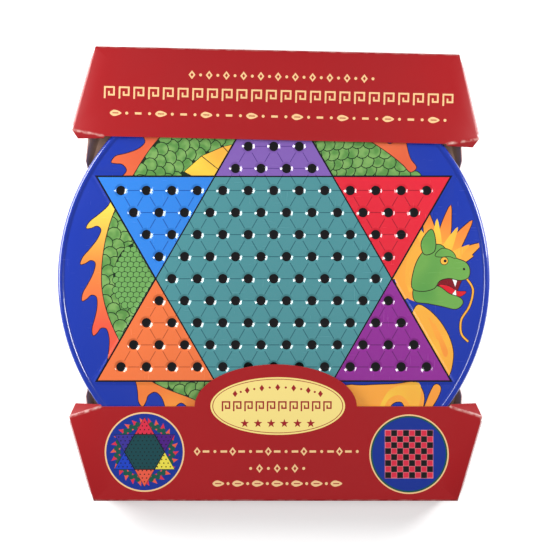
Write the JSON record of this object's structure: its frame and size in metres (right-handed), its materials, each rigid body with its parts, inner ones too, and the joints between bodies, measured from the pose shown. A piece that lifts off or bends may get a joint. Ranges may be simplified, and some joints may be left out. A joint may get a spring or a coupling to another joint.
{
  "type": "chinese checkers board",
  "caption": "Round printed tin with a pressed star board on its lid, holding balls, checkers and a rules sheet, in a folded card carrier.",
  "frame": {"origin": "on the underside of the carrier's back panel, below the tin's centre", "axes": "+Z out of the star face, +Y towards the top band, +X to the right of the star seen from above"},
  "size_m": [0.3182, 0.3313, 0.0308],
  "materials": {
    "printed_card": "varnished red print outside, raw grey-brown board inside",
    "card_tray": "varnished red print outside, raw grey-brown board inside",
    "card_gusset": "raw grey-brown board inside, red print outside",
    "base_print": "gloss print on tinplate, bare inside",
    "lid_print": "gloss print on tinplate, bare inside",
    "net_bag": "knotless plastic net over glossy balls",
    "red_plastic": "moulded, glossy",
    "black_plastic": "moulded, glossy",
    "paper": "uncoated, folded"
  },
  "bodies": {
    "carrier": {"carrier_back_panel": "card_tray", "carrier_gusset_upper_left": "card_gusset", "carrier_gusset_upper_right": "card_gusset", "carrier_gusset_lower_left": "card_gusset", "carrier_gusset_lower_right": "card_gusset"},
    "tin": {"tin_base": "base_print", "ball_bag": "net_bag", "rules_sheet": "paper", "checker_red_01": "red_plastic", "checker_red_02": "red_plastic", "checker_red_03": "red_plastic", "checker_red_04": "red_plastic", "checker_red_05": "red_plastic", "checker_red_06": "red_plastic", "checker_red_07": "red_plastic", "checker_red_08": "red_plastic", "checker_red_09": "red_plastic", "checker_red_10": "red_plastic", "checker_red_11": "red_plastic", "checker_red_12": "red_plastic", "checker_black_01": "black_plastic", "checker_black_02": "black_plastic", "checker_black_03": "black_plastic", "checker_black_04": "black_plastic", "checker_black_05": "black_plastic", "checker_black_06": "black_plastic", "checker_black_07": "black_plastic", "checker_black_08": "black_plastic", "checker_black_09": "black_plastic", "checker_black_10": "black_plastic", "checker_black_11": "black_plastic", "checker_black_12": "black_plastic"},
    "lid": {"tin_lid": "lid_print"},
    "top_wall": {"carrier_top_wall": "printed_card"},
    "top_band": {"carrier_top_band": "printed_card", "carrier_top_tab_left": "printed_card", "carrier_top_tab_right": "printed_card"},
    "bottom_wall": {"carrier_bottom_wall": "printed_card"},
    "bottom_band": {"carrier_bottom_band": "printed_card", "carrier_bottom_tab_left": "printed_card", "carrier_bottom_tab_right": "printed_card"}
  },
  "joints": [
    {"name": "tin_turn", "type": "hinge", "parent": "carrier", "child": "tin", "pos_m": [0, 0, 0], "axis": [0, 0, 1], "continuous": true},
    {"name": "lid_lift", "type": "slide", "parent": "tin", "child": "lid", "axis": [0, 0, 1], "range_m": [0, 0.045]},
    {"name": "top_rear_crease", "type": "hinge", "parent": "carrier", "child": "top_wall", "pos_m": [0.0027, 0.16637, 0], "axis": [-0.9997, 0.0227, 0], "range_deg": [0, 90]},
    {"name": "top_front_crease", "type": "hinge", "parent": "top_wall", "child": "top_band", "pos_m": [0.0027, 0.16637, 0.0308], "axis": [-0.9997, 0.0227, 0], "range_deg": [0, 90]},
    {"name": "bottom_rear_crease", "type": "hinge", "parent": "carrier", "child": "bottom_wall", "pos_m": [0.0014, -0.16187, 0], "axis": [1, 0, 0], "range_deg": [0, 90]},
    {"name": "bottom_front_crease", "type": "hinge", "parent": "bottom_wall", "child": "bottom_band", "pos_m": [0.0014, -0.16187, 0.0308], "axis": [1, 0, 0], "range_deg": [0, 90]}
  ],
  "couplings": [
    {"joint": "top_rear_crease", "follows": "lid_lift", "rad_per_m": 34.9},
    {"joint": "top_front_crease", "follows": "lid_lift", "rad_per_m": 34.9},
    {"joint": "bottom_rear_crease", "follows": "lid_lift", "rad_per_m": 34.9},
    {"joint": "bottom_front_crease", "follows": "lid_lift", "rad_per_m": 34.9}
  ]
}
